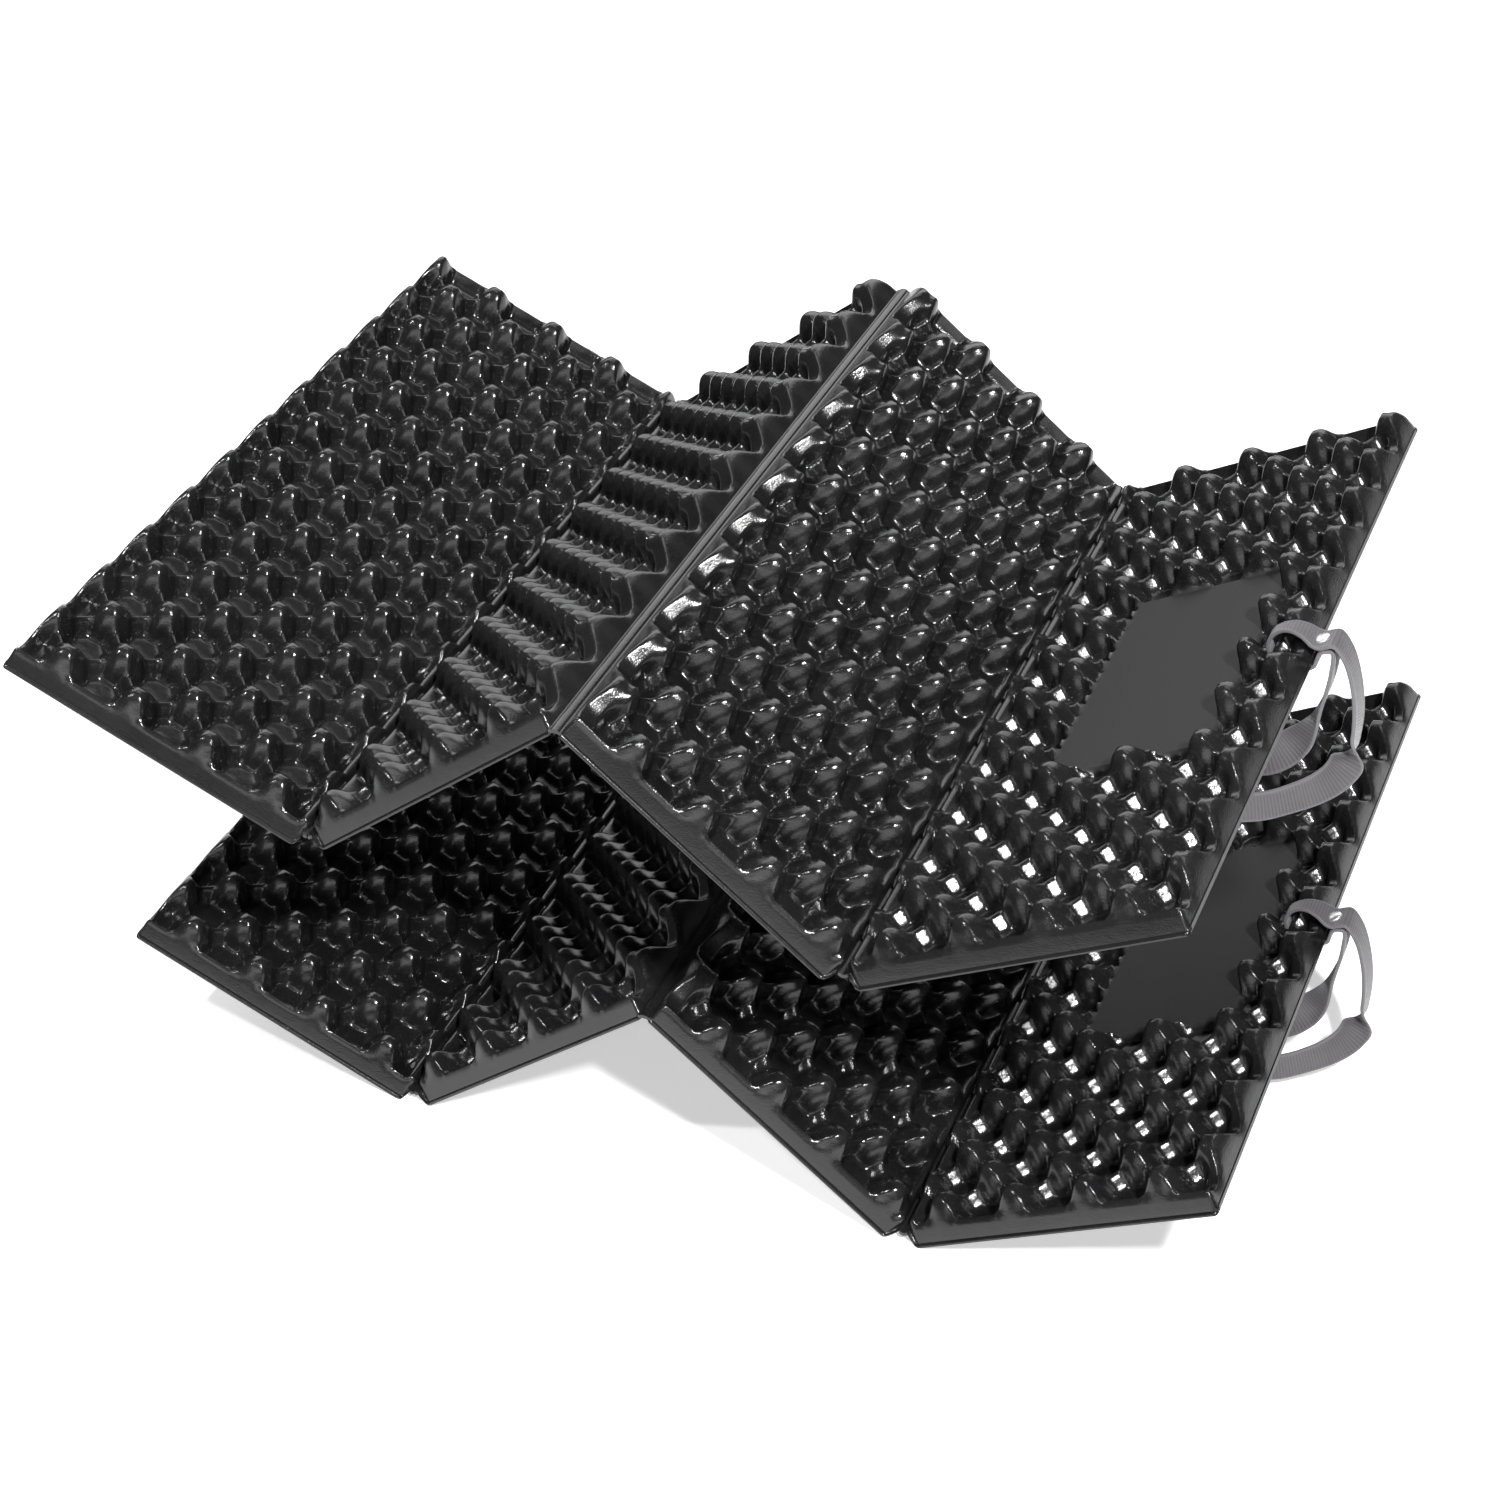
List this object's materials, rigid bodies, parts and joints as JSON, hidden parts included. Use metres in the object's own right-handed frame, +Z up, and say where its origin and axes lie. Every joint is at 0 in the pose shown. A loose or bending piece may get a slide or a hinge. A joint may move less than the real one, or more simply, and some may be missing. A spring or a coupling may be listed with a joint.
{
  "type": "tyre traction mats",
  "caption": "Pair of folding studded rubber traction mats for a stuck wheel, each folding in a zigzag and carrying a webbing loop on its last panel.",
  "frame": {"origin": "on the surface that the lower mat stands on, under the middle of the box round both mats", "axes": "+X across the panels towards the carry loops, +Y along the folds, +Z up"},
  "size_m": [0.3791, 0.2994, 0.1814],
  "materials": {
    "rubber": "glossy moulded rubber",
    "webbing": "ribbed woven webbing",
    "rivet_metal": "bright"
  },
  "bodies": {
    "lower_base": {"lower_valley_web_1": "rubber"},
    "lower_panel_1": {"lower_panel_1": "rubber"},
    "lower_panel_2": {"lower_panel_2": "rubber", "lower_ridge_web": "rubber"},
    "lower_panel_3": {"lower_panel_3": "rubber", "lower_valley_web_2": "rubber"},
    "lower_panel_4": {"lower_panel_4": "rubber", "lower_strap_anchor": "webbing", "lower_rivet_cap": "rivet_metal", "lower_rivet_post": "rivet_metal"},
    "lower_strap": {"lower_strap_loop": "webbing"},
    "upper_base": {"upper_valley_web_1": "rubber"},
    "upper_panel_1": {"upper_panel_1": "rubber"},
    "upper_panel_2": {"upper_panel_2": "rubber", "upper_ridge_web": "rubber"},
    "upper_panel_3": {"upper_panel_3": "rubber", "upper_valley_web_2": "rubber"},
    "upper_panel_4": {"upper_panel_4": "rubber", "upper_strap_anchor": "webbing", "upper_rivet_cap": "rivet_metal", "upper_rivet_post": "rivet_metal"},
    "upper_strap": {"upper_strap_loop": "webbing"}
  },
  "joints": [
    {"name": "lower_panel_1_fold", "type": "hinge", "parent": "lower_base", "child": "lower_panel_1", "pos_m": [-0.07802, 0.0107, 0.00455], "axis": [0, 1, 0], "range_deg": [-23, 47], "deforming": ["lower_valley_web_1"]},
    {"name": "lower_inner_fold", "type": "hinge", "parent": "lower_base", "child": "lower_panel_2", "pos_m": [-0.07502, 0.0107, 0.00455], "axis": [0, -1, 0], "range_deg": [-39, 31]},
    {"name": "lower_ridge_fold", "type": "hinge", "parent": "lower_panel_2", "child": "lower_panel_3", "pos_m": [0.00492, 0.0107, 0.06156], "axis": [0, -1, 0], "range_deg": [-62, 78], "deforming": ["lower_ridge_web"]},
    {"name": "lower_last_fold", "type": "hinge", "parent": "lower_panel_3", "child": "lower_panel_4", "pos_m": [0.08635, 0.0107, 0.00455], "axis": [0, -1, 0], "range_deg": [-67, 53.26], "deforming": ["lower_valley_web_2"]},
    {"name": "lower_strap_swing", "type": "hinge", "parent": "lower_panel_4", "child": "lower_strap", "pos_m": [0.18324, 0.0087, 0.05243], "axis": [0, 1, 0], "range_deg": [-145, 8]},
    {"name": "upper_panel_1_fold", "type": "hinge", "parent": "upper_base", "child": "upper_panel_1", "pos_m": [-0.08862, -0.0147, 0.12155], "axis": [0, 1, 0], "range_deg": [-23, 47], "deforming": ["upper_valley_web_1"]},
    {"name": "upper_inner_fold", "type": "hinge", "parent": "upper_base", "child": "upper_panel_2", "pos_m": [-0.08562, -0.0147, 0.12155], "axis": [0, -1, 0], "range_deg": [-39, 31]},
    {"name": "upper_ridge_fold", "type": "hinge", "parent": "upper_panel_2", "child": "upper_panel_3", "pos_m": [-0.00568, -0.0147, 0.17856], "axis": [0, -1, 0], "range_deg": [-62, 78], "deforming": ["upper_ridge_web"]},
    {"name": "upper_last_fold", "type": "hinge", "parent": "upper_panel_3", "child": "upper_panel_4", "pos_m": [0.07575, -0.0147, 0.12155], "axis": [0, -1, 0], "range_deg": [-67, 53.26], "deforming": ["upper_valley_web_2"]},
    {"name": "upper_strap_swing", "type": "hinge", "parent": "upper_panel_4", "child": "upper_strap", "pos_m": [0.17264, -0.0167, 0.16943], "axis": [0, 1, 0], "range_deg": [-145, 8]},
    {"name": "upper_lift", "type": "slide", "parent": "lower_base", "child": "upper_base", "axis": [0, 0, 1], "range_m": [-0.05, 0.15]}
  ],
  "couplings": [
    {"joint": "lower_ridge_fold", "follows": "lower_inner_fold", "ratio": -2},
    {"joint": "lower_last_fold", "follows": "lower_inner_fold", "ratio": 1.7179},
    {"joint": "upper_ridge_fold", "follows": "upper_inner_fold", "ratio": -2},
    {"joint": "upper_last_fold", "follows": "upper_inner_fold", "ratio": 1.7179}
  ]
}
